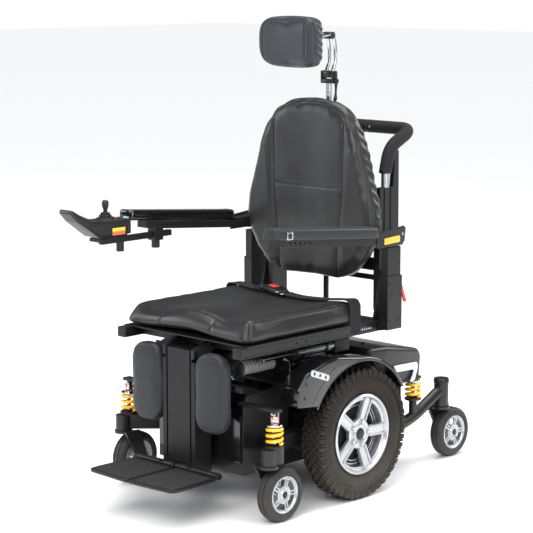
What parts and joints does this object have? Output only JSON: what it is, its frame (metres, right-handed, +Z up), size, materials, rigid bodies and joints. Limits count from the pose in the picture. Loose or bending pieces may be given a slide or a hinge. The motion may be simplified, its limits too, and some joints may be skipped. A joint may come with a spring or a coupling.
{
  "type": "power wheelchair",
  "caption": "Mid-wheel drive power wheelchair with sprung swivel casters, reclining padded back, flip-up armrests, joystick, headrest and elevating centre legrest.",
  "frame": {"origin": "on the floor, under the middle of the chair's length and width", "axes": "+X to the sitter's left, +Y backwards, +Z up"},
  "size_m": [0.63, 1.229, 1.3325],
  "materials": {
    "frame_paint": "satin black powder coat",
    "battery_case": "matte moulded plastic",
    "cover_gloss": "gloss black moulded cover",
    "hood_plastic": "satin dark grey moulded cover",
    "trim_white": "plain white and light grey trim",
    "motor_casting": "black painted casting",
    "chrome": "polished chrome",
    "spring_yellow": "gloss yellow-orange",
    "seat_leather": "black leather, soft sheen",
    "head_leather": "blue-black leather, soft sheen",
    "webbing": "ribbed black webbing",
    "buckle_plastic": "satin black plastic",
    "brushed_tube": "brushed silver",
    "bellows_rubber": "grey rubber bellows",
    "drive_tyre": "brown-black knobbly tread",
    "caster_tyre": "smooth black tyre",
    "rim_alloy": "silver painted alloy",
    "arm_paint": "satin black paint",
    "foam_grip": "dark grey foam grip",
    "post_aluminium": "black anodised extrusion",
    "pad_skin": "moulded dark grey pad skin",
    "joystick_plastic": "satin black housing",
    "boot_rubber": "black rubber boot and knob",
    "button_red": "red push button",
    "footplate_grit": "dark grey textured plate"
  },
  "bodies": {
    "chassis": {"base_frame": "frame_paint", "power_pack": "battery_case", "front_shroud": "cover_gloss", "rear_hood": "hood_plastic", "fenders": "cover_gloss", "trim_plates": "trim_white", "drive_motors": "motor_casting", "shock_bodies": "chrome", "suspension_springs": "spring_yellow", "seat_pedestal": "frame_paint", "seat_frame": "frame_paint", "seat_cushion": "seat_leather", "seat_belt": "webbing", "belt_buckle": "buckle_plastic", "arm_sleeves": "frame_paint", "leg_actuator": "brushed_tube", "actuator_bellows": "bellows_rubber"},
    "drive_wheel_left": {"drive_tyre_left": "drive_tyre", "drive_rim_left": "rim_alloy"},
    "drive_wheel_right": {"drive_tyre_right": "drive_tyre", "drive_rim_right": "rim_alloy"},
    "front_arm_left": {"front_arm_left": "arm_paint"},
    "front_fork_left": {"front_fork_left": "arm_paint"},
    "front_caster_left": {"front_caster_tyre_left": "caster_tyre", "front_caster_rim_left": "rim_alloy"},
    "front_arm_right": {"front_arm_right": "arm_paint"},
    "front_fork_right": {"front_fork_right": "arm_paint"},
    "front_caster_right": {"front_caster_tyre_right": "caster_tyre", "front_caster_rim_right": "rim_alloy"},
    "rear_arm_left": {"rear_arm_left": "arm_paint"},
    "rear_fork_left": {"rear_fork_left": "arm_paint"},
    "rear_caster_left": {"rear_caster_tyre_left": "caster_tyre", "rear_caster_rim_left": "rim_alloy"},
    "rear_arm_right": {"rear_arm_right": "arm_paint"},
    "rear_fork_right": {"rear_fork_right": "arm_paint"},
    "rear_caster_right": {"rear_caster_tyre_right": "caster_tyre", "rear_caster_rim_right": "rim_alloy"},
    "arm_post_left": {"arm_post_left": "frame_paint"},
    "armrest_left": {"arm_bracket_left": "frame_paint", "arm_pad_left": "pad_skin"},
    "arm_post_right": {"arm_post_right": "frame_paint"},
    "armrest_right": {"arm_bracket_right": "frame_paint", "arm_pad_right": "pad_skin"},
    "joystick": {"joystick_mount": "frame_paint", "joystick_housing": "joystick_plastic"},
    "joystick_gimbal": {"joystick_gimbal": "brushed_tube"},
    "joystick_lever": {"joystick_lever": "boot_rubber"},
    "joystick_button": {"joystick_button": "button_red"},
    "backrest": {"back_frame": "frame_paint", "back_cushion": "seat_leather", "push_handle": "foam_grip"},
    "headrest_post": {"headrest_post": "chrome"},
    "headrest_lever": {"headrest_lever": "buckle_plastic"},
    "headrest_arch": {"headrest_arch": "chrome"},
    "headrest_pad": {"headrest_pad": "head_leather"},
    "legrest": {"leg_post": "post_aluminium", "calf_pads": "pad_skin"},
    "leg_slide": {"leg_slide": "post_aluminium"},
    "footplate_left": {"footplate_left": "footplate_grit"},
    "footplate_right": {"footplate_right": "footplate_grit"}
  },
  "joints": [
    {"name": "drive_wheel_left_spin", "type": "hinge", "parent": "chassis", "child": "drive_wheel_left", "pos_m": [0.277, -0.0035, 0.184], "axis": [1, 0, 0], "continuous": true},
    {"name": "drive_wheel_right_spin", "type": "hinge", "parent": "chassis", "child": "drive_wheel_right", "pos_m": [-0.277, -0.0035, 0.184], "axis": [1, 0, 0], "continuous": true},
    {"name": "front_arm_left_swing", "type": "hinge", "parent": "chassis", "child": "front_arm_left", "pos_m": [0.19, -0.1335, 0.165], "axis": [-1, 0, 0], "range_deg": [0, 6], "stiffness_Nm_per_rad": 300, "springref_deg": -17.19, "deforming": ["suspension_springs"]},
    {"name": "front_fork_left_swivel", "type": "hinge", "parent": "front_arm_left", "child": "front_fork_left", "pos_m": [0.286, -0.3605, 0.162], "axis": [0, 0, 1], "continuous": true},
    {"name": "front_caster_left_spin", "type": "hinge", "parent": "front_fork_left", "child": "front_caster_left", "pos_m": [0.286, -0.3175, 0.075], "axis": [1, 0, 0], "continuous": true},
    {"name": "front_arm_right_swing", "type": "hinge", "parent": "chassis", "child": "front_arm_right", "pos_m": [-0.19, -0.1335, 0.165], "axis": [-1, 0, 0], "range_deg": [0, 6], "stiffness_Nm_per_rad": 300, "springref_deg": -17.19, "deforming": ["suspension_springs"]},
    {"name": "front_fork_right_swivel", "type": "hinge", "parent": "front_arm_right", "child": "front_fork_right", "pos_m": [-0.286, -0.3605, 0.162], "axis": [0, 0, 1], "continuous": true},
    {"name": "front_caster_right_spin", "type": "hinge", "parent": "front_fork_right", "child": "front_caster_right", "pos_m": [-0.286, -0.3175, 0.075], "axis": [1, 0, 0], "continuous": true},
    {"name": "rear_arm_left_swing", "type": "hinge", "parent": "chassis", "child": "rear_arm_left", "pos_m": [0.19, 0.0565, 0.128], "axis": [1, 0, 0], "range_deg": [0, 4], "stiffness_Nm_per_rad": 500, "springref_deg": -17.19, "deforming": ["suspension_springs"]},
    {"name": "rear_fork_left_swivel", "type": "hinge", "parent": "rear_arm_left", "child": "rear_fork_left", "pos_m": [0.19, 0.4965, 0.162], "axis": [0, 0, 1], "continuous": true},
    {"name": "rear_caster_left_spin", "type": "hinge", "parent": "rear_fork_left", "child": "rear_caster_left", "pos_m": [0.19, 0.5395, 0.075], "axis": [1, 0, 0], "continuous": true},
    {"name": "rear_arm_right_swing", "type": "hinge", "parent": "chassis", "child": "rear_arm_right", "pos_m": [-0.19, 0.0565, 0.128], "axis": [1, 0, 0], "range_deg": [0, 4], "stiffness_Nm_per_rad": 500, "springref_deg": -17.19, "deforming": ["suspension_springs"]},
    {"name": "rear_fork_right_swivel", "type": "hinge", "parent": "rear_arm_right", "child": "rear_fork_right", "pos_m": [-0.19, 0.4965, 0.162], "axis": [0, 0, 1], "continuous": true},
    {"name": "rear_caster_right_spin", "type": "hinge", "parent": "rear_fork_right", "child": "rear_caster_right", "pos_m": [-0.19, 0.5395, 0.075], "axis": [1, 0, 0], "continuous": true},
    {"name": "arm_post_left_height", "type": "slide", "parent": "chassis", "child": "arm_post_left", "axis": [0, 0, 1], "range_m": [0, 0.06]},
    {"name": "armrest_left_flip", "type": "hinge", "parent": "arm_post_left", "child": "armrest_left", "pos_m": [0.2654, 0.1765, 0.716], "axis": [-1, 0, 0], "range_deg": [0, 90]},
    {"name": "arm_post_right_height", "type": "slide", "parent": "chassis", "child": "arm_post_right", "axis": [0, 0, 1], "range_m": [0, 0.06]},
    {"name": "armrest_right_flip", "type": "hinge", "parent": "arm_post_right", "child": "armrest_right", "pos_m": [-0.2654, 0.1765, 0.716], "axis": [-1, 0, 0], "range_deg": [0, 90]},
    {"name": "joystick_reach", "type": "slide", "parent": "armrest_right", "child": "joystick", "axis": [0, -1, 0], "range_m": [0, 0.04]},
    {"name": "joystick_pitch", "type": "hinge", "parent": "joystick", "child": "joystick_gimbal", "pos_m": [-0.2784, -0.4255, 0.7664], "axis": [1, 0, 0], "range_deg": [-15, 15], "stiffness_Nm_per_rad": 0.4},
    {"name": "joystick_roll", "type": "hinge", "parent": "joystick_gimbal", "child": "joystick_lever", "pos_m": [-0.2784, -0.4255, 0.7664], "axis": [0, 1, 0], "range_deg": [-15, 15], "stiffness_Nm_per_rad": 0.4},
    {"name": "joystick_button_press", "type": "slide", "parent": "joystick", "child": "joystick_button", "axis": [0, 0, -1], "range_m": [0, 0.002], "stiffness_N_per_m": 600},
    {"name": "backrest_recline", "type": "hinge", "parent": "chassis", "child": "backrest", "pos_m": [0, 0.1865, 0.59], "axis": [-1, 0, 0], "range_deg": [0, 30]},
    {"name": "headrest_height", "type": "slide", "parent": "backrest", "child": "headrest_post", "axis": [0, 0, 1], "range_m": [0, 0.08]},
    {"name": "headrest_lever_turn", "type": "hinge", "parent": "headrest_post", "child": "headrest_lever", "pos_m": [0.028, 0.1945, 1.143], "axis": [1, 0, 0], "range_deg": [0, 60]},
    {"name": "headrest_arch_swing", "type": "hinge", "parent": "headrest_post", "child": "headrest_arch", "pos_m": [0, 0.1945, 1.162], "axis": [1, 0, 0], "range_deg": [-20, 12]},
    {"name": "headrest_pad_tilt", "type": "hinge", "parent": "headrest_arch", "child": "headrest_pad", "pos_m": [0, 0.0945, 1.258], "axis": [1, 0, 0], "range_deg": [-20, 20]},
    {"name": "legrest_lift", "type": "hinge", "parent": "chassis", "child": "legrest", "pos_m": [0, -0.4035, 0.436], "axis": [-1, 0, 0], "range_deg": [0, 60]},
    {"name": "leg_length", "type": "slide", "parent": "legrest", "child": "leg_slide", "axis": [0, 0, -1], "range_m": [0, 0.06]},
    {"name": "footplate_left_flip", "type": "hinge", "parent": "leg_slide", "child": "footplate_left", "pos_m": [0.085, -0.4245, 0.119], "axis": [-1, 0, 0], "range_deg": [0, 75]},
    {"name": "footplate_right_flip", "type": "hinge", "parent": "leg_slide", "child": "footplate_right", "pos_m": [-0.085, -0.4245, 0.119], "axis": [-1, 0, 0], "range_deg": [0, 75]}
  ]
}
